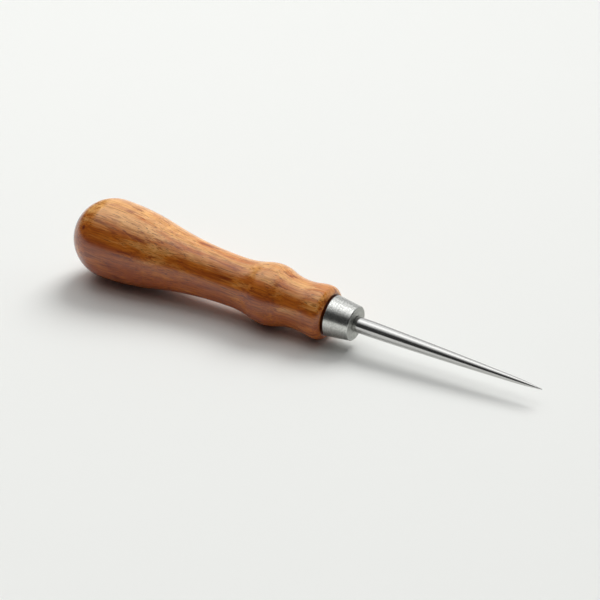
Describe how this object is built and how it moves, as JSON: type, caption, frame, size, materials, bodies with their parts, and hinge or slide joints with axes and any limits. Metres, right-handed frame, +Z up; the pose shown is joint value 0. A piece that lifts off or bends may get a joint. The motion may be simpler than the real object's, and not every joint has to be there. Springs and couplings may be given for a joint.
{
  "type": "scratch awl",
  "caption": "Scratch awl lying on its side: turned wooden handle with a bulb and bead, steel ferrule, and a tapered round steel blade with a sharp point.",
  "frame": {"origin": "centre of the object's box at bench level: the tool lies on its side, on the bulb and the bead of its handle", "axes": "+Z up from the bench, +X along the bench towards the point; the tool's own axis dips a little more than 3 degrees below +X"},
  "size_m": [0.1666, 0.027, 0.0271],
  "materials": {
    "handle_wood": "satin varnish over open-pored turned hardwood",
    "ferrule_steel": "turned and brushed around the axis, satin",
    "blade_steel": "ground and polished",
    "tang_resin": "cured amber resin, hidden"
  },
  "bodies": {
    "root": {"handle": "handle_wood", "ferrule": "ferrule_steel", "blade": "blade_steel", "tang_bed": "tang_resin"}
  },
  "joints": []
}
